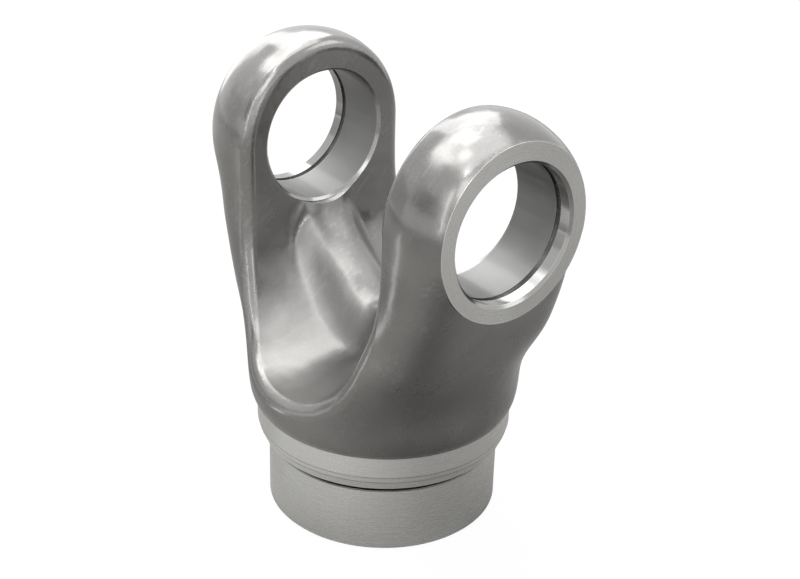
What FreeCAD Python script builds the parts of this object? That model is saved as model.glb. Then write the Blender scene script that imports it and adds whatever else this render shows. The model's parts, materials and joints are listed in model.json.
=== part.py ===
import FreeCAD, Part
import math
import os
from FreeCAD import Vector

# A drive-shaft weld yoke: one steel forging with two ears bored for the
# trunnion cups of a universal-joint cross, and a turned spigot for the tube.
# Frame: millimetres, origin at the centre of the spigot's end face, Z up the
# shaft axis, the bore axis along X, the open sides of the jaw towards -Y and +Y.

# Turned spigot and ring
SPIGOT_RADIUS = 50.0
SPIGOT_LENGTH = 29.0
SPIGOT_CHAMFER = 1.0
GROOVE_WIDTH = 3.5
GROOVE_DEPTH = 1.4
GROOVE_BEVEL = 0.6
RING_RADIUS = 55.0
RING_LENGTH = 9.2
BEVEL_STEP = 2.5
BEVEL_LENGTH = 6.7
FACET_STEP = 0.7
FACET_LENGTH = 2.7
SHANK_OVERLAP = 2.0

# Forged body
BODY_RADIUS = 57.8
EDGE_ROUND_HEIGHT = 9.0
EDGE_ROUND_DEPTH = 3.2

# Ears and bores
BORE_HEIGHT = 152.8
BORE_RADIUS = 28.5
BORE_CHAMFER = 1.2
JAW_HALF_WIDTH = 45.0
EAR_HALF_SPAN = 77.4
BOSS_RADIUS = 35.8
BOSS_BORDER = 0.4
BOSS_DEPTH = 12.0
MACHINING_STOCK = 4.0
EAR_HALF_WIDTH = 43.5
EAR_WIDEST_X = 63.0
EAR_DRAFT_SHARE = 0.42
EAR_TOP_RATIO = 1.04
EAR_SQUARENESS = 5.0
JAW_EDGE_FILLET = 5.5
RING_GROOVE_INSET = 8.6
RING_GROOVE_WIDTH = 2.6
RING_GROOVE_DEPTH = 1.6
CUTTER_RUNOUT = 5.0

# Jaw floor between the ears, from the middle out to a wall: share of the jaw's
# half width, share of the rise to the bore axis. The crest is the top of the
# web between the ears, the bowl is the scoop beside it and the lip is the open
# side of the jaw.
CREST_ROW = [(0.0, 0.42), (0.16, 0.43), (0.36, 0.51), (0.64, 0.57), (0.86, 0.655), (1.0, 0.77), (1.0, 0.97)]
BOWL_ROW = [(0.0, 0.25), (0.15, 0.26), (0.4, 0.33), (0.66, 0.42), (0.9, 0.51), (1.0, 0.63), (1.0, 0.93)]
LIP_ROW = [(0.0, 0.155), (0.28, 0.16), (0.62, 0.2), (0.84, 0.34), (0.9, 0.54), (1.0, 0.725), (1.0, 0.97)]
WEB_DEPTH = 80.0
# Share of the web's depth, then where the row lies: 1 on the crest, 0 in the
# bowl, -1 on the lip.
WEB_ROWS = [(0.0, 1.0), (0.06, 1.0), (0.13, 0.85), (0.19, 0.35), (0.25, 0.0), (0.33, -0.15),
            (0.42, -0.37), (0.52, -0.65), (0.62, -0.88), (0.75, -1.0), (1.0, -1.0)]

# Sections of the forging by share of the rise to the bore axis: share of the
# way from the body's radius to the ears' reach along X and to their half
# width along Y, and the exponent of the outline, 2 for an ellipse.
SECTIONS = [(0.15, -0.03, -0.12, 2.0), (0.23, -0.02, -0.02, 2.2), (0.34, 0.07, 0.42, 3.1),
            (0.43, 0.2, 0.76, 4.7), (0.54, 0.35, 0.95, 6.1), (0.65, 0.5, 0.97, 6.1),
            (0.79, 0.67, 0.98, 5.5), (0.88, 0.84, 0.99, 5.2), (1.0, 1.0, 1.0, EAR_SQUARENESS)]
# The ears grow narrower towards the jaw: share of the rise, share of the draft.
DRAFT_ROWS = [(0.5, 0.0), (0.8, 1.0)]
# Lower edge of the body: share of its height, share of its depth.
EDGE_ROUND = [(0.0, 1.0), (0.13, 0.53), (0.44, 0.16), (1.0, 0.0)]

SECTION_POLES = 120
SECTION_ROWS = 14
UPRIGHT_LENGTH = 6.0
SURFACE_TOLERANCE = 0.002
NODE_NAME = "forged_yoke"

BEVEL_START = SPIGOT_LENGTH + GROOVE_WIDTH
RING_START = BEVEL_START + BEVEL_LENGTH
BODY_START = RING_START + RING_LENGTH
BORE_RISE = BORE_HEIGHT - BODY_START
FULL_REACH = EAR_HALF_SPAN / (1.0 - ((BOSS_RADIUS + BOSS_BORDER) / EAR_HALF_WIDTH)
                              ** EAR_SQUARENESS) ** (1.0 / EAR_SQUARENESS)


def spline_knots(pole_count):
    # Clamped cubic knots for an open row of poles.
    spans = pole_count - 3
    return [float(k) for k in range(spans + 1)], [4] + [1] * (spans - 1) + [4]


def curve_value(stations, place):
    # Monotone cubic through (place, value) stations, level at both ends.
    count = len(stations)
    slopes = [0.0] * count
    for i in range(1, count - 1):
        (x0, y0), (x1, y1), (x2, y2) = stations[i - 1:i + 2]
        left = (y1 - y0) / (x1 - x0)
        right = (y2 - y1) / (x2 - x1)
        if left * right > 0.0:
            slopes[i] = 2.0 * left * right / (left + right)
    place = min(max(place, stations[0][0]), stations[-1][0])
    for i in range(count - 1):
        (x0, y0), (x1, y1) = stations[i], stations[i + 1]
        if place <= x1:
            break
    width = x1 - x0
    t = (place - x0) / width
    return (y0 * (1.0 + 2.0 * t) * (1.0 - t) ** 2 + y1 * t * t * (3.0 - 2.0 * t)
            + width * t * (1.0 - t) * (slopes[i] * (1.0 - t) - slopes[i + 1] * t))


def section_poles(rise, z):
    # Poles of the closed outline of the forging, ears and jaw filled in, with
    # the shape that it has at one rise over the body's lower edge.
    share = rise / BORE_RISE
    reach_share = curve_value([(0.0, 0.0)] + [(row[0], row[1]) for row in SECTIONS], share)
    side_share = curve_value([(0.0, 0.0)] + [(row[0], row[2]) for row in SECTIONS], share)
    power = curve_value([(0.0, 2.0)] + [(row[0], row[3]) for row in SECTIONS], share)
    draft = EAR_DRAFT_SHARE * curve_value(DRAFT_ROWS, share)
    inset = EDGE_ROUND_DEPTH * curve_value(EDGE_ROUND, rise / EDGE_ROUND_HEIGHT)
    reach = BODY_RADIUS + reach_share * (FULL_REACH - BODY_RADIUS) - inset
    side = BODY_RADIUS + side_share * (EAR_HALF_WIDTH - BODY_RADIUS) - inset
    poles = []
    for i in range(SECTION_POLES):
        angle = 2.0 * math.pi * i / SECTION_POLES
        c, s = abs(math.cos(angle)) / reach, abs(math.sin(angle)) / side
        radius = (c ** power + s ** power) ** (-1.0 / power)
        x = radius * math.cos(angle)
        inward = max(0.0, 1.0 - abs(x) / EAR_WIDEST_X)
        narrowing = draft * math.sin(0.5 * math.pi * inward) ** 2
        poles.append(Vector(x, radius * math.sin(angle) * (1.0 - narrowing), z))
    return poles


def forged_skin():
    # A closed pole net from the body's lower edge to the bore axis. Its last
    # two rows are alike, so the skin stands upright where the ear tops join it.
    rises = [share * EDGE_ROUND_HEIGHT for share, depth in EDGE_ROUND]
    step = (BORE_RISE - 2.0 * UPRIGHT_LENGTH - EDGE_ROUND_HEIGHT) / (SECTION_ROWS - 1)
    rises += [EDGE_ROUND_HEIGHT + step * i for i in range(1, SECTION_ROWS)]
    rows = [section_poles(rise, BODY_START + rise) for rise in rises]
    rows += [section_poles(BORE_RISE, BORE_HEIGHT - UPRIGHT_LENGTH), section_poles(BORE_RISE, BORE_HEIGHT)]
    columns = [list(column) for column in zip(*rows)]
    up_knots, up_mults = spline_knots(len(rows))
    around_knots = [float(i) for i in range(SECTION_POLES + 1)]
    surface = Part.BSplineSurface()
    surface.buildFromPolesMultsKnots(columns, [1] * (SECTION_POLES + 1), up_mults, around_knots, up_knots,
                                     True, False, 3, 3)
    wall = surface.toShape()
    rims = [edge for edge in wall.Edges if edge.BoundBox.ZLength < 0.001]
    caps = [Part.Face(Part.Wire([rim])) for rim in rims]
    shell = Part.makeShell([wall] + caps)
    shell.sewShape()
    return Part.makeSolid(Part.makeShell(shell.Faces))


def ear_top(side):
    # The upper half of an ear: a quarter of the skin's section swept half a turn
    # round the bore axis.
    curve = Part.BSplineCurve()
    knots = [float(i) for i in range(SECTION_POLES + 1)]
    curve.buildFromPolesMultsKnots(section_poles(BORE_RISE, 0.0), [1] * (SECTION_POLES + 1), knots, True, 3)
    section = Part.Face(Part.Wire([curve.toShape()]))
    size = 2.0 * FULL_REACH
    quarter = section.common(Part.makeBox(size, size, size, Vector(0, 0, -0.5 * size)))
    top = quarter.revolve(Vector(0, 0, 0), Vector(1, 0, 0), 180)
    stretch = FreeCAD.Matrix()
    stretch.scale(Vector(1, 1, EAR_TOP_RATIO))
    top = top.transformGeometry(stretch)
    if side < 0:
        top.rotate(Vector(0, 0, 0), Vector(0, 0, 1), 180)
    top.translate(Vector(0, 0, BORE_HEIGHT))
    return top


def jaw_row(y, ridge):
    # One row of poles across the jaw floor: upright at both walls, level in
    # the middle. The ridge says where it lies, as WEB_ROWS does.
    other = CREST_ROW if ridge > 0.0 else LIP_ROW
    half = []
    for (bowl_x, bowl_z), (other_x, other_z) in zip(BOWL_ROW, other):
        half.append((JAW_HALF_WIDTH * (bowl_x + (other_x - bowl_x) * abs(ridge)),
                     BODY_START + BORE_RISE * (bowl_z + (other_z - bowl_z) * abs(ridge))))
    row = half[:0:-1] + half[:1] + [(-x, z) for x, z in half[1:]]
    return [Vector(x, y, z) for x, z in row]


def jaw_gap():
    # The space between the ears: a pole net for its floor, raised upwards.
    rows = [jaw_row(-WEB_DEPTH * share, ridge) for share, ridge in reversed(WEB_ROWS[1:])]
    rows += [jaw_row(WEB_DEPTH * share, ridge) for share, ridge in WEB_ROWS]
    floor = Part.BSplineSurface()
    along_knots, along_mults = spline_knots(len(rows))
    across_knots, across_mults = spline_knots(len(rows[0]))
    floor.buildFromPolesMultsKnots(rows, along_mults, across_mults, along_knots, across_knots,
                                   False, False, 3, 3)
    return floor.toShape().extrude(Vector(0, 0, 2.0 * BORE_HEIGHT))


def turned_shank():
    root = SPIGOT_RADIUS - GROOVE_DEPTH
    top = BODY_START + SHANK_OVERLAP
    outline = [(0, 0), (SPIGOT_RADIUS - SPIGOT_CHAMFER, 0), (SPIGOT_RADIUS, SPIGOT_CHAMFER),
               (SPIGOT_RADIUS, SPIGOT_LENGTH), (root, SPIGOT_LENGTH + GROOVE_BEVEL),
               (root, BEVEL_START), (RING_RADIUS - BEVEL_STEP, BEVEL_START),
               (RING_RADIUS - FACET_STEP, RING_START - FACET_LENGTH),
               (RING_RADIUS, RING_START), (RING_RADIUS, top), (0, top)]
    points = [Vector(r, 0, z) for r, z in outline]
    face = Part.Face(Part.makePolygon(points + points[:1]))
    return face.revolve(Vector(0, 0, 0), Vector(0, 0, 1), 360)


def boss(side):
    # Round boss that the outer face of an ear is machined on, left long here.
    base = Vector(side * (EAR_HALF_SPAN - BOSS_DEPTH), 0, BORE_HEIGHT)
    return Part.makeCylinder(BOSS_RADIUS, BOSS_DEPTH + MACHINING_STOCK, base, Vector(side, 0, 0))


def bore_tool(side):
    # Bore, its two chamfers and the snap-ring groove, as one turned cutter.
    inner, outer = JAW_HALF_WIDTH, EAR_HALF_SPAN
    open_radius = BORE_RADIUS + BORE_CHAMFER
    groove = BORE_RADIUS + RING_GROOVE_DEPTH
    groove_start = outer - RING_GROOVE_INSET
    outline = [(inner - CUTTER_RUNOUT, 0), (inner - CUTTER_RUNOUT, open_radius), (inner, open_radius),
               (inner + BORE_CHAMFER, BORE_RADIUS), (groove_start, BORE_RADIUS),
               (groove_start, groove), (groove_start + RING_GROOVE_WIDTH, groove),
               (groove_start + RING_GROOVE_WIDTH, BORE_RADIUS),
               (outer - BORE_CHAMFER, BORE_RADIUS), (outer, open_radius),
               (outer + CUTTER_RUNOUT, open_radius + CUTTER_RUNOUT), (outer + CUTTER_RUNOUT, 0)]
    points = [Vector(side * x, r, 0) + Vector(0, 0, BORE_HEIGHT) for x, r in outline]
    face = Part.Face(Part.makePolygon(points + points[:1]))
    return face.revolve(Vector(0, 0, BORE_HEIGHT), Vector(1, 0, 0), 360)


def inner_edges(body, gap, skin_parts):
    # Edges where the jaw gap breaks out through the forged skin.
    found = []
    for edge in body.Edges:
        first, last = edge.ParameterRange
        middle = Part.Vertex(edge.valueAt(0.5 * (first + last)))
        if gap.distToShape(middle)[0] > SURFACE_TOLERANCE:
            continue
        if min(part.distToShape(middle)[0] for part in skin_parts) > SURFACE_TOLERANCE:
            continue
        found.append(edge)
    return found


def forged_body():
    skin = forged_skin()
    tops = [ear_top(1), ear_top(-1)]
    gap = jaw_gap()
    depth = 4.0 * BODY_RADIUS
    between_bosses = Part.makeBox(2.0 * EAR_HALF_SPAN, depth, 2.0 * BORE_HEIGHT,
                                  Vector(-EAR_HALF_SPAN, -0.5 * depth, 0))
    body = skin.fuse(tops).cut(gap).fuse([boss(1), boss(-1)])
    body = body.common(between_bosses).removeSplitter()
    return body.makeFillet(JAW_EDGE_FILLET, inner_edges(body, gap, [skin] + tops))


yoke = forged_body().fuse(turned_shank())
yoke = yoke.cut([bore_tool(1), bore_tool(-1)]).removeSplitter()
solid = yoke.Solids[0]
print("solids", len(yoke.Solids), "valid", solid.isValid(), "faces", len(solid.Faces), "volume", solid.Volume)
os.makedirs("parts", exist_ok=True)
solid.exportStep("parts/%s.step" % NODE_NAME)
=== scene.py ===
import bpy
import json
import math
from mathutils import Matrix, Vector


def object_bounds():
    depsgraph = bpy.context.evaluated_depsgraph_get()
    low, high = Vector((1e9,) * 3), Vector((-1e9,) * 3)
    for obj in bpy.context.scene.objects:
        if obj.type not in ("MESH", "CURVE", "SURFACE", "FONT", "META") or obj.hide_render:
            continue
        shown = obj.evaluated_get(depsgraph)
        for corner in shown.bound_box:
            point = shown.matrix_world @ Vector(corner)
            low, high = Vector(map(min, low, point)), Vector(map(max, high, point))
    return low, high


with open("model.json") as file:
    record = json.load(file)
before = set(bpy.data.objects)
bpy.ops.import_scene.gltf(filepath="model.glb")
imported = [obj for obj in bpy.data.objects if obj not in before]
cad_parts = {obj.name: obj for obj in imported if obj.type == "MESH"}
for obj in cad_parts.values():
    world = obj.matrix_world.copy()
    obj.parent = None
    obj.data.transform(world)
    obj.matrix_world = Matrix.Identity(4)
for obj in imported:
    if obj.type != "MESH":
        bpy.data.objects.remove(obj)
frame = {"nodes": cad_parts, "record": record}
box_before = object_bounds()

# A forged drive-shaft yoke in metres: Z up the shaft axis, the bore axis along X.

MM = 0.001

# Sizes from the frame: the bore through both ears and the reach of the ears
MOUNTS = {mount["name"]: mount for mount in frame["record"]["mounts"]}
BORE_HEIGHT = MOUNTS["cross_bores"]["pos_m"][2]
BORE_RADIUS = MOUNTS["cross_bores"]["dims"]["r_mm"] * MM
EAR_HALF_SPAN = box_before[1][0]

# The finishes follow these steps of the yoke. A finish's border lies a little off
# its step, so that the step's surface falls wholly to one side: by BORDER at a
# groove or chamfer, and by FACE_BORDER at a face or the bore's wall.
BORDER = 0.05 * MM
FACE_BORDER = 0.1 * MM
SPIGOT_TOP = 29.0 * MM
UNDERCUT_INSET = 0.3 * MM
UNDERCUT_TOP = 32.5 * MM
BEVEL_TOP = 39.2 * MM
FACET_LENGTH = 2.7 * MM
BODY_START = 48.4 * MM
JAW_HALF_WIDTH = 45.0 * MM
BORE_CHAMFER = 1.2 * MM
RING_GROOVE_INSET = 8.6 * MM
RING_GROOVE_WIDTH = 2.6 * MM
RING_GROOVE_START = BORE_RADIUS + 0.3 * MM

# Two darker lines round the ring, at both ends of its facet
FACET_LINE_PLACES = (BEVEL_TOP - FACET_LENGTH, BEVEL_TOP)
FACET_LINE_HALF_WIDTH = 0.2 * MM

# The scoops between the ears: where their soft border starts and where it ends
SCOOP_HALF_WIDTH = (44.0 * MM, 38.0 * MM)
SCOOP_TOP = (150.0 * MM, 110.0 * MM)
SCOOP_RIM = (57.0 * MM, 51.0 * MM)

# Heights between which the strokes of dressing fade in
DRESSED_FROM = (75.0 * MM, 105.0 * MM)

# An edge shows wear within this reach: none where the cosine between its normal
# and a rounded one is over the second value, and all of it under the first.
EDGE_REACH = 0.7 * MM
EDGE_COSINE = (0.93, 0.995)

# Tones of the steel, as plain reflectance. A pair is the tone at the low and the
# high end of a mark's noise; grain and clouds go as far up as down.
FORGED_TONE = (0.23, 0.31)
TURNED_TONE = (0.77, 0.79)
FACE_TONE = (0.70, 0.72)
# Painted shade: the bore's wall is far darker than the turned faces.
BORE_PAINTED_SHADE_TONE = (0.26, 0.28)
# Painted reflection: the downward bevel is lighter than the turned steel.
BEVEL_PAINTED_REFLECTION_TONE = 0.88
FACET_LINE_TONE = 0.4
POLISHED_TONE = 0.36
# Painted shade: near black in the ring groove and the undercut.
GROOVE_PAINTED_SHADE_TONE = 0.05
WORN_TONE = 0.12
STROKE_TONE = 0.04
GRAIN_TONE = 0.01
CLOUD_TONE = 0.02
WARM_TINT = (1.0, 0.985, 0.96)
PLAIN_TINT = (1.0, 1.0, 0.985)

# Gloss of the steel, with a thin film of oil over it
FORGED_ROUGH = (0.2, 0.3)
GRAIN_ROUGH = 0.01
SCOOP_ROUGH = 0.37
TURNED_ROUGH = (0.26, 0.29)
BORE_ROUGH = (0.45, 0.55)
POLISHED_ROUGH = 0.16
ANISOTROPY = 0.75
ANISOTROPY_TURN = 0.25
OIL_WEIGHT = 0.4
SCOOP_OIL_WEIGHT = 0.12
OIL_ROUGH = 0.08

# Marks, as noise: how many cycles a metre holds, detail and roughness
BROAD = (22.0, 3.0, 0.5)
PATCHES = (60.0, 2.0, 0.5)
WAVES = (190.0, 0.0, 0.5)
GRAIN = (900.0, 3.0, 0.65)
PITS = (2600.0, 2.0, 0.7)
RING_SCALE = 2200.0
RING_DETAIL = 3.0
STROKE_TURN = (-0.785, 0.0, 0.0)
STROKE_SCALE = (600.0, 90.0, 600.0)
CROSS_STROKE_TURN = (0.3, 0.15, 0.0)
CROSS_STROKE_SCALE = (600.0, 600.0, 80.0)
STROKE_DETAIL = 1.0

# Stretches of a noise's range that a tone, a gloss or a mask is spread over
NOISE_BAND = (0.3, 0.7)
DRESSED_BAND = (0.4, 0.6)
STROKE_BAND = (0.54, 0.68)

# Relief: depth of the forging waves and of the fine skin, and the skin's parts
WAVE_DEPTH = 0.11 * MM
SKIN_DEPTH = 0.05 * MM
GRAIN_SHARE = 0.03
PIT_SHARE = 0.01
STROKE_SHARE = 1.1
RING_SHARE = 0.006

# Camera as found from the photo, angles in degrees
CAMERA_PLACE = (476.247 * MM, -374.229 * MM, 409.400 * MM)
CAMERA_AZIMUTH = -38.70209
CAMERA_ELEVATION = 27.20929
CAMERA_ROLL = 1.68049
FOCAL_PIXELS = 1612.82
IMAGE_WIDTH = 800.0
SENSOR = 36.0

# Floor and world. To the camera the floor gives back FLOOR_SHADE of the lamps' light,
# which is FLOOR_LIGHT of white on the open floor, and its glow makes up the rest.
WHITE = (1.0, 1.0, 1.0, 1.0)
BLACK = (0.0, 0.0, 0.0, 1.0)
FLOOR_SIZE = 6.0
FLOOR_COLOUR = (0.6, 0.6, 0.6, 1.0)
FLOOR_SHADE = 0.12
FLOOR_LIGHT = 0.6
PAPER_ROUGH = 0.9
AMBIENT = 0.15

# Grey mat, with a painted shadow of the yoke beside it on the right of the picture, and a darker patch
# behind it on the left
MAT_SIZE = 2.4
MAT_LIFT = 0.3 * MM
# Painted shadow of the yoke on the mat: its centre, fade and tones
MAT_PAINTED_SHADOW_POOL = (0.14, 0.10)
MAT_PAINTED_SHADOW_FADE = (0.08, 0.36)
MAT_PAINTED_SHADOW_TONE = (0.40, 0.66)
MAT_SIDE_POOL = (-0.26, -0.04)
MAT_SIDE_FADE = (0.1, 0.32)
MAT_SIDE_TONE = (0.68, 1.0)

# Lamps and cards stand round this point. Each lamp has its name, azimuth and
# elevation in degrees, width and height in metres, and power in watts.
MIDDLE = (0.0, 0.0, 0.1)
LAMP_DISTANCE = 1.2
LAMPS = [("top", 180.0, 80.0, 1.3, 1.3, 8.5),
         ("back", 150.0, 42.0, 0.8, 0.6, 3.1),
         ("left", -140.0, 58.0, 0.6, 0.4, 1.0),
         ("front", -45.0, 42.0, 0.5, 0.5, 1.4),
         ("strip", -72.0, 22.0, 0.05, 0.9, 0.8),
         ("right", 50.0, 45.0, 0.7, 0.4, 1.1),
         ("column", 168.0, 10.0, 0.5, 0.8, 1.5),
         ("streak", -21.0, 15.0, 0.02, 0.4, 0.3),
         ("bright", 176.0, 70.0, 0.36, 0.4, 1.1),
         ("spot_bowl", -105.0, 75.0, 0.22, 0.22, 0.35),
         ("spot_rib", -62.0, 61.0, 0.1, 0.1, 0.3)]

# Grey cards: the same, with the strength of their glow for the power
CARD_DISTANCE = 1.0
CARDS = [("card_bowl", -103.0, 22.0, 0.55, 0.3, 0.4),
         ("card_lip", -142.0, 10.0, 0.6, 0.35, 0.6),
         ("card_right", 52.0, 2.0, 0.7, 0.25, 0.1)]

# A strip lamp that lies on the mat
LOW_STRIP_AZIMUTH = -122.0
LOW_STRIP_REACH = 0.38
LOW_STRIP_LIFT = 2.0 * MM
LOW_STRIP_LENGTH = 0.4
LOW_STRIP_WIDTH = 0.04
LOW_STRIP_POWER = 0.05


class Nodes:
    # Short calls for building the node tree of a material or of the world.

    def __init__(self, owner):
        owner.use_nodes = True
        self.tree = owner.node_tree

    def add(self, kind, settings=None, **sockets):
        node = self.tree.nodes.new(kind)
        for name, value in (settings or {}).items():
            setattr(node, name, value)
        for name, value in sockets.items():
            self.put(node.inputs[name], value)
        return node

    def put(self, socket, value):
        if isinstance(value, bpy.types.NodeSocket):
            self.tree.links.new(value, socket)
        else:
            socket.default_value = value

    def math(self, operation, *values):
        node = self.add("ShaderNodeMath", {"operation": operation})
        for socket, value in zip(node.inputs, values):
            self.put(socket, value)
        return node.outputs[0]

    def both(self, first, second):
        return self.math("MULTIPLY", first, second)

    def either(self, first, second):
        return self.math("MAXIMUM", first, second)

    def seen(self):
        # 1 for what the camera, a glossy surface or a clear one shows, and 0 for light.
        path = self.add("ShaderNodeLightPath").outputs
        return self.either(self.either(path["Is Camera Ray"], path["Is Glossy Ray"]),
                           path["Is Transmission Ray"])

    def choose(self, share, first, second):
        mix = self.add("ShaderNodeMixShader", Fac=share)
        self.put(mix.inputs[1], first)
        self.put(mix.inputs[2], second)
        return mix.outputs[0]


class Finish(Nodes):
    # A material of one Principled shader, worked out from the place on the object.

    def __init__(self, name):
        self.material = bpy.data.materials.new(name)
        super().__init__(self.material)
        self.shader = self.tree.nodes["Principled BSDF"]
        self.place = self.add("ShaderNodeTexCoord").outputs["Object"]
        self.x, self.y, self.z = self.add("ShaderNodeSeparateXYZ", Vector=self.place).outputs

    def shade(self, **sockets):
        # An underscore stands for a space in the socket's name.
        for name, value in sockets.items():
            self.put(self.shader.inputs[name.replace("_", " ")], value)

    def ramp(self, value, low, high, at_low=0.0, at_high=1.0):
        node = self.add("ShaderNodeMapRange", {"interpolation_type": "SMOOTHSTEP"}, Value=value)
        for socket, number in zip(node.inputs[1:], (low, high, at_low, at_high)):
            socket.default_value = number
        return node.outputs[0]

    def spread(self, noise, low, high):
        return self.ramp(noise, *NOISE_BAND, low, high)

    def blend(self, share, first, second):
        node = self.add("ShaderNodeMix", {"data_type": "FLOAT"})
        self.put(node.inputs[0], share)
        self.put(node.inputs[2], first)
        self.put(node.inputs[3], second)
        return node.outputs[0]

    def blend_vectors(self, share, first, second):
        node = self.add("ShaderNodeMix", {"data_type": "VECTOR"})
        self.put(node.inputs[0], share)
        self.put(node.inputs[4], first)
        self.put(node.inputs[5], second)
        return node.outputs[1]

    def between(self, value, low, high):
        return self.both(self.math("GREATER_THAN", value, low), self.math("LESS_THAN", value, high))

    def length(self, first, second):
        return self.math("SQRT", self.math("ADD", self.both(first, first), self.both(second, second)))

    def noise(self, scale, detail, roughness):
        node = self.add("ShaderNodeTexNoise", Vector=self.place, Scale=scale, Detail=detail,
                        Roughness=roughness)
        return node.outputs[0]

    def rings(self, distance):
        # Fine lines across a distance, as a turning tool leaves them.
        node = self.add("ShaderNodeTexNoise", {"noise_dimensions": "1D"}, W=distance,
                        Scale=RING_SCALE, Detail=RING_DETAIL)
        return node.outputs[0]

    def strokes(self, turn, scale):
        # Short parallel strokes: noise drawn out along one direction.
        turned = self.add("ShaderNodeMapping", Vector=self.place, Rotation=turn)
        drawn = self.add("ShaderNodeMapping", Vector=turned.outputs[0], Scale=scale)
        node = self.add("ShaderNodeTexNoise", Vector=drawn.outputs[0], Scale=1.0,
                        Detail=STROKE_DETAIL)
        return node.outputs[0]

    def bump(self, height, depth, **normal):
        return self.add("ShaderNodeBump", Height=height, Distance=depth, **normal).outputs[0]

    def grey(self, tone, plain=0.0):
        # A grey with a touch of warmth, or nearly none where plain is 1.
        red, green, blue = [self.both(tone, self.blend(plain, warm, even))
                            for warm, even in zip(WARM_TINT, PLAIN_TINT)]
        return self.add("ShaderNodeCombineColor", Red=red, Green=green, Blue=blue).outputs[0]

    def edges(self):
        # 1 on an edge and 0 away from it, where the normal and a rounded one agree.
        rounded = self.add("ShaderNodeBevel", Radius=EDGE_REACH)
        plain = self.add("ShaderNodeNewGeometry")
        cosine = self.add("ShaderNodeVectorMath", {"operation": "DOT_PRODUCT"})
        self.put(cosine.inputs[0], rounded.outputs[0])
        self.put(cosine.inputs[1], plain.outputs["Normal"])
        return self.ramp(cosine.outputs["Value"], *EDGE_COSINE, 1.0, 0.0)


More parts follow.
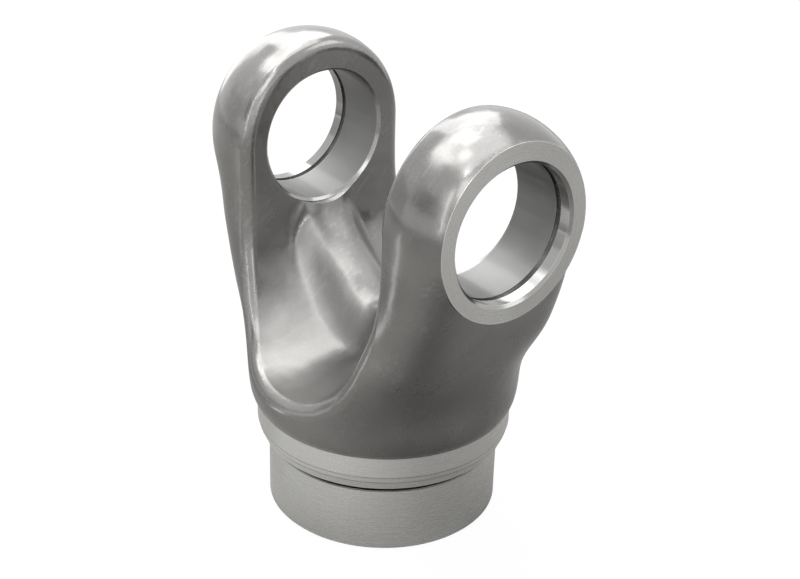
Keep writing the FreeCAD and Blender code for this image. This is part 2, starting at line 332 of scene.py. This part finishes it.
class Steel(Finish):
    # Forged skin with turned, bored and polished places, told apart by where they lie.

    def __init__(self, name):
        super().__init__(name)
        self.find_turned()
        self.find_details()
        self.find_scoops()
        self.draw_marks()
        self.shade(Base_Color=self.grey(self.tone(), self.turned), Metallic=1.0)
        self.set_gloss()
        self.set_tangent()
        self.shade(Normal=self.relief())

    def find_turned(self):
        # The shank, the bores and the round outer faces
        self.across = self.math("ABSOLUTE", self.x)
        self.from_bore = self.length(self.y, self.math("SUBTRACT", self.z, BORE_HEIGHT))
        self.in_shank = self.math("LESS_THAN", self.z, BODY_START)
        near_axis = self.math("LESS_THAN", self.from_bore, BORE_RADIUS + BORE_CHAMFER + BORDER)
        in_ear = self.math("GREATER_THAN", self.across, JAW_HALF_WIDTH - FACE_BORDER)
        self.in_bore = self.both(near_axis, in_ear)
        self.on_face = self.math("GREATER_THAN", self.across, EAR_HALF_SPAN - FACE_BORDER)
        self.about_bore = self.either(self.in_bore, self.on_face)
        self.turned = self.either(self.in_shank, self.about_bore)

    def find_details(self):
        # Grooves and the undercut, darkened as painted shade; polished lands; the ring's bevel,
        # lightened as a painted reflection, with two darker lines; and edges
        groove_start = EAR_HALF_SPAN - RING_GROOVE_INSET + BORDER
        groove_end = EAR_HALF_SPAN - RING_GROOVE_INSET + RING_GROOVE_WIDTH - BORDER
        in_groove = self.both(self.between(self.across, groove_start, groove_end),
                              self.math("GREATER_THAN", self.from_bore, RING_GROOVE_START))
        in_undercut = self.between(self.z, SPIGOT_TOP + UNDERCUT_INSET, UNDERCUT_TOP - BORDER)
        # Painted shade: the ring groove inside the bore and the undercut on the shank get a near-black
        # tone.
        self.painted_groove_shade = self.either(self.both(in_groove, self.in_bore),
                                self.both(in_undercut, self.in_shank))
        past_groove = self.math("GREATER_THAN", self.across, groove_end)
        on_chamfer = self.math("GREATER_THAN", self.from_bore, BORE_RADIUS + FACE_BORDER)
        self.polished = self.both(self.in_bore, self.either(past_groove, on_chamfer))
        # Painted reflection: the ring's bevel, which faces down, is given a lighter tone than the
        # turned steel.
        self.on_bevel = self.between(self.z, UNDERCUT_TOP, BEVEL_TOP)
        self.facet_lines = self.either(*[self.between(self.z, place - FACET_LINE_HALF_WIDTH,
                                                  place + FACET_LINE_HALF_WIDTH)
                                     for place in FACET_LINE_PLACES])
        self.edge = self.edges()

    def find_scoops(self):
        # The floor between the ears, left as it was forged
        inside = self.both(self.ramp(self.across, *SCOOP_HALF_WIDTH), self.ramp(self.z, *SCOOP_TOP))
        self.in_scoop = self.both(inside, self.ramp(self.length(self.x, self.y), *SCOOP_RIM))

    def draw_marks(self):
        self.broad = self.noise(*BROAD)
        self.patches = self.noise(*PATCHES)
        self.grain = self.noise(*GRAIN)
        self.along = self.strokes(STROKE_TURN, STROKE_SCALE)
        self.crosswise = self.strokes(CROSS_STROKE_TURN, CROSS_STROKE_SCALE)
        self.dressed = self.both(self.ramp(self.patches, *DRESSED_BAND),
                                 self.ramp(self.z, *DRESSED_FROM))
        path = self.blend(self.on_face, self.x, self.from_bore)
        self.ring = self.rings(self.blend(self.about_bore, self.z, path))

    def tone(self):
        stroke = self.both(self.dressed, self.ramp(self.along, *STROKE_BAND, 0.0, STROKE_TONE))
        forged = self.math("ADD", self.spread(self.broad, *FORGED_TONE),
                           self.spread(self.grain, -GRAIN_TONE, GRAIN_TONE))
        forged = self.math("ADD", forged, stroke)
        turned = self.blend(self.on_face, self.spread(self.ring, *TURNED_TONE),
                            self.spread(self.ring, *FACE_TONE))
        # Painted shade: the bore's wall far darker than the turned faces
        turned = self.blend(self.in_bore, turned, self.spread(self.ring, *BORE_PAINTED_SHADE_TONE))
        turned = self.math("ADD", turned, self.spread(self.broad, -CLOUD_TONE, CLOUD_TONE))
        # Painted reflection: the bevel lighter than the turned steel
        turned = self.blend(self.on_bevel, turned, BEVEL_PAINTED_REFLECTION_TONE)
        turned = self.blend(self.facet_lines, turned, FACET_LINE_TONE)
        turned = self.blend(self.polished, turned, POLISHED_TONE)
        tone = self.blend(self.turned, forged, turned)
        tone = self.math("ADD", tone, self.both(self.edge, WORN_TONE))
        # Painted shade: near black in the ring groove and the undercut
        return self.blend(self.painted_groove_shade, tone, GROOVE_PAINTED_SHADE_TONE)

    def set_gloss(self):
        forged = self.math("ADD", self.spread(self.patches, *FORGED_ROUGH),
                           self.spread(self.grain, -GRAIN_ROUGH, GRAIN_ROUGH))
        forged = self.blend(self.in_scoop, forged, SCOOP_ROUGH)
        turned = self.blend(self.in_bore, self.spread(self.ring, *TURNED_ROUGH),
                            self.spread(self.ring, *BORE_ROUGH))
        turned = self.blend(self.polished, turned, POLISHED_ROUGH)
        self.shade(Roughness=self.blend(self.turned, forged, turned),
                   Anisotropic=self.both(self.turned, ANISOTROPY),
                   Anisotropic_Rotation=ANISOTROPY_TURN,
                   Coat_Weight=self.blend(self.in_scoop, OIL_WEIGHT, SCOOP_OIL_WEIGHT),
                   Coat_Roughness=OIL_ROUGH)

    def set_tangent(self):
        # Turning marks run round the shaft axis on the shank and round X at the bores.
        round_shank = self.add("ShaderNodeTangent", {"axis": "Z"})
        round_bore = self.add("ShaderNodeTangent", {"axis": "X"})
        self.shade(Tangent=self.blend_vectors(self.about_bore, round_shank.outputs[0],
                                              round_bore.outputs[0]))

    def relief(self):
        struck = self.both(self.dressed, self.either(self.along, self.crosswise))
        skin = self.math("ADD", self.both(self.grain, GRAIN_SHARE),
                         self.math("ADD", self.both(self.noise(*PITS), PIT_SHARE),
                                   self.both(struck, STROKE_SHARE)))
        fine = self.blend(self.turned, skin, self.both(self.ring, RING_SHARE))
        waves = self.bump(self.blend(self.turned, self.noise(*WAVES), 0.0), WAVE_DEPTH)
        return self.bump(fine, SKIN_DEPTH, Normal=waves)


def floor_paper():
    # Pale paper that lights the yoke as paper does. To the camera and in the steel it
    # has its own white, so that the shadow on it stays faint.
    n = Finish("floor_paper")
    n.shade(Base_Color=FLOOR_COLOUR, Roughness=PAPER_ROUGH)
    shaded = n.add("ShaderNodeBsdfDiffuse", Color=(FLOOR_SHADE, FLOOR_SHADE, FLOOR_SHADE, 1.0))
    glow = n.add("ShaderNodeEmission", Color=WHITE, Strength=1.0 - FLOOR_LIGHT * FLOOR_SHADE)
    white = n.add("ShaderNodeAddShader")
    n.put(white.inputs[0], shaded.outputs[0])
    n.put(white.inputs[1], glow.outputs[0])
    chosen = n.choose(n.seen(), n.shader.outputs[0], white.outputs[0])
    n.put(n.tree.nodes["Material Output"].inputs[0], chosen)
    return n.material


def mat_cloth():
    n = Finish("mat")
    tones = []
    # The first pool is a painted shadow of the yoke on the mat; the second only makes the mat darker
    # behind it on the left.
    for pool, fade, tone in ((MAT_PAINTED_SHADOW_POOL, MAT_PAINTED_SHADOW_FADE, MAT_PAINTED_SHADOW_TONE),
                             (MAT_SIDE_POOL, MAT_SIDE_FADE, MAT_SIDE_TONE)):
        reach = n.length(n.math("SUBTRACT", n.x, pool[0]), n.math("SUBTRACT", n.y, pool[1]))
        tones.append(n.ramp(reach, *fade, *tone))
    n.shade(Base_Color=n.grey(n.both(*tones)), Roughness=PAPER_ROUGH)
    return n.material


def card_paper(name, glow):
    n = Finish(name)
    n.shade(Base_Color=BLACK, Emission_Color=WHITE, Emission_Strength=glow)
    return n.material


def facing(azimuth, elevation, distance):
    # Place and turn of a thing that faces the yoke from a direction in degrees,
    # azimuth 0 along +X.
    turn, rise = math.radians(azimuth), math.radians(elevation)
    way = Vector((math.cos(turn) * math.cos(rise), math.sin(turn) * math.cos(rise), math.sin(rise)))
    return Vector(MIDDLE) + distance * way, way.to_track_quat("Z", "Y").to_euler()


def add_plane(name, size, location, material):
    bpy.ops.mesh.primitive_plane_add(size=size, location=location)
    plane = bpy.context.object
    plane.name = name
    plane.data.materials.append(material)
    return plane


def show_in_steel_only(plane):
    plane.visible_camera = False
    plane.visible_diffuse = False
    plane.visible_shadow = False


def add_floor():
    floor = add_plane("floor", FLOOR_SIZE, (0.0, 0.0, 0.0), floor_paper())


def add_mat():
    # The grey table that the photo's steel mirrors.
    mat = add_plane("mat", MAT_SIZE, (0.0, 0.0, MAT_LIFT), mat_cloth())
    show_in_steel_only(mat)


def add_card(name, azimuth, elevation, width, height, glow):
    place, turn = facing(azimuth, elevation, CARD_DISTANCE)
    card = add_plane(name, 1.0, place, card_paper(name, glow))
    card.scale = (width, height, 1.0)
    card.rotation_euler = turn
    show_in_steel_only(card)


def add_world():
    # White for what looks at it or is mirrored in the steel, dimmer as a light.
    world = bpy.data.worlds.new("studio")
    bpy.context.scene.world = world
    n = Nodes(world)
    dim = n.tree.nodes["Background"]
    n.put(dim.inputs["Color"], WHITE)
    n.put(dim.inputs["Strength"], AMBIENT)
    white = n.add("ShaderNodeBackground", Color=WHITE)
    chosen = n.choose(n.seen(), dim.outputs[0], white.outputs[0])
    n.put(n.tree.nodes["World Output"].inputs[0], chosen)


def add_lamp(name, width, height, power):
    data = bpy.data.lights.new(name, "AREA")
    data.shape = "RECTANGLE"
    data.size = width
    data.size_y = height
    data.energy = power
    lamp = bpy.data.objects.new(name, data)
    bpy.context.scene.collection.objects.link(lamp)
    return lamp


def add_softbox(name, azimuth, elevation, width, height, power):
    lamp = add_lamp(name, width, height, power)
    lamp.location, lamp.rotation_euler = facing(azimuth, elevation, LAMP_DISTANCE)


def add_low_strip():
    # A narrow lamp lying on the mat, which draws a bright line along the jaw edges.
    lamp = add_lamp("low_left", LOW_STRIP_LENGTH, LOW_STRIP_WIDTH, LOW_STRIP_POWER)
    turn = math.radians(LOW_STRIP_AZIMUTH)
    lamp.location = (LOW_STRIP_REACH * math.cos(turn), LOW_STRIP_REACH * math.sin(turn), LOW_STRIP_LIFT)
    lamp.rotation_euler = (math.pi, 0.0, turn)
    lamp.visible_camera = False


def add_camera():
    data = bpy.data.cameras.new("camera")
    data.sensor_width = SENSOR
    data.lens = FOCAL_PIXELS / IMAGE_WIDTH * SENSOR
    camera = bpy.data.objects.new("camera", data)
    # A camera looks along its own -Z, so it is turned and tilted from there, then rolled.
    turn = Matrix.Rotation(math.radians(90.0 + CAMERA_AZIMUTH), 4, "Z")
    tilt = Matrix.Rotation(math.radians(90.0 - CAMERA_ELEVATION), 4, "X")
    roll = Matrix.Rotation(math.radians(CAMERA_ROLL), 4, "Z")
    camera.matrix_world = Matrix.Translation(CAMERA_PLACE) @ turn @ tilt @ roll
    bpy.context.scene.collection.objects.link(camera)
    bpy.context.scene.camera = camera


yoke = frame["nodes"]["forged_yoke"]
yoke.data.materials.clear()
yoke.data.materials.append(Steel("forged_and_turned_steel").material)

add_floor()
add_mat()
add_world()
add_camera()
for lamp_values in LAMPS:
    add_softbox(*lamp_values)
add_low_strip()
for card_values in CARDS:
    add_card(*card_values)

bpy.context.scene.view_settings.view_transform = "Standard"
